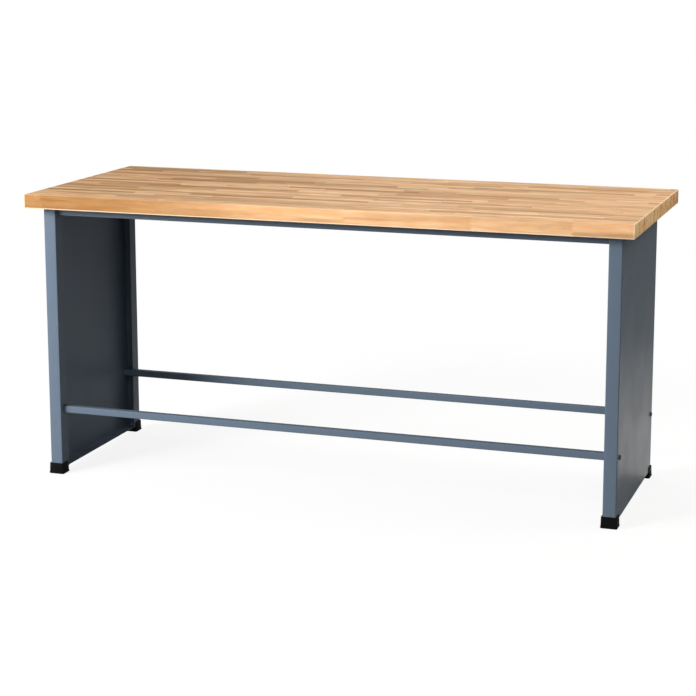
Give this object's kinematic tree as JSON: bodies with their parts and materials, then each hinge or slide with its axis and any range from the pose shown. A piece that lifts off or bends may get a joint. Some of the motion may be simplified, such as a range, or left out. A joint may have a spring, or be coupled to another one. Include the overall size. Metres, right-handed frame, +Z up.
{
  "type": "modular workbench",
  "caption": "Free-standing workbench: a thick glued beech top on folded sheet-steel side panels, joined by low stretchers and rails under the top, standing in plastic shoes.",
  "frame": {"origin": "on the floor, under the middle of the top", "axes": "+X along the bench to the right seen from the front, +Y from front to rear, +Z up"},
  "size_m": [1.75, 0.7, 0.83],
  "materials": {
    "beech": "oiled, glued staves with finger joints, satin",
    "frame_paint": "blue-grey powder coat, semi-gloss",
    "foot_plastic": "black moulded plastic, matt",
    "fastener_steel": "zinc-plated",
    "bolt_black": "blackened steel"
  },
  "bodies": {
    "root": {"worktop": "beech", "side_panel_left": "frame_paint", "side_panel_right": "frame_paint", "stretcher_front": "frame_paint", "top_rail_front": "frame_paint", "stretcher_rear": "frame_paint", "top_rail_rear": "frame_paint", "foot_front_left": "foot_plastic", "foot_front_right": "foot_plastic", "foot_rear_left": "foot_plastic", "foot_rear_right": "foot_plastic", "foot_screw_front_left": "fastener_steel", "foot_screw_front_right": "fastener_steel", "foot_screw_rear_left": "fastener_steel", "foot_screw_rear_right": "fastener_steel", "stretcher_block_front_left": "fastener_steel", "stretcher_block_front_right": "fastener_steel", "stretcher_block_rear_left": "fastener_steel", "stretcher_block_rear_right": "fastener_steel", "rail_block_front_left": "fastener_steel", "rail_block_front_right": "fastener_steel", "rail_block_rear_left": "fastener_steel", "rail_block_rear_right": "fastener_steel", "stretcher_bolt_front_left": "bolt_black", "stretcher_bolt_front_right": "bolt_black", "stretcher_bolt_rear_left": "bolt_black", "stretcher_bolt_rear_right": "bolt_black", "rail_bolt_front_left": "bolt_black", "rail_bolt_front_right": "bolt_black", "rail_bolt_rear_left": "bolt_black", "rail_bolt_rear_right": "bolt_black", "top_screw_left_1": "fastener_steel", "top_screw_left_2": "fastener_steel", "top_screw_left_3": "fastener_steel", "top_screw_right_1": "fastener_steel", "top_screw_right_2": "fastener_steel", "top_screw_right_3": "fastener_steel", "top_screw_front_1": "fastener_steel", "top_screw_front_2": "fastener_steel", "top_screw_front_3": "fastener_steel", "top_screw_rear_1": "fastener_steel", "top_screw_rear_2": "fastener_steel", "top_screw_rear_3": "fastener_steel"}
  },
  "joints": []
}
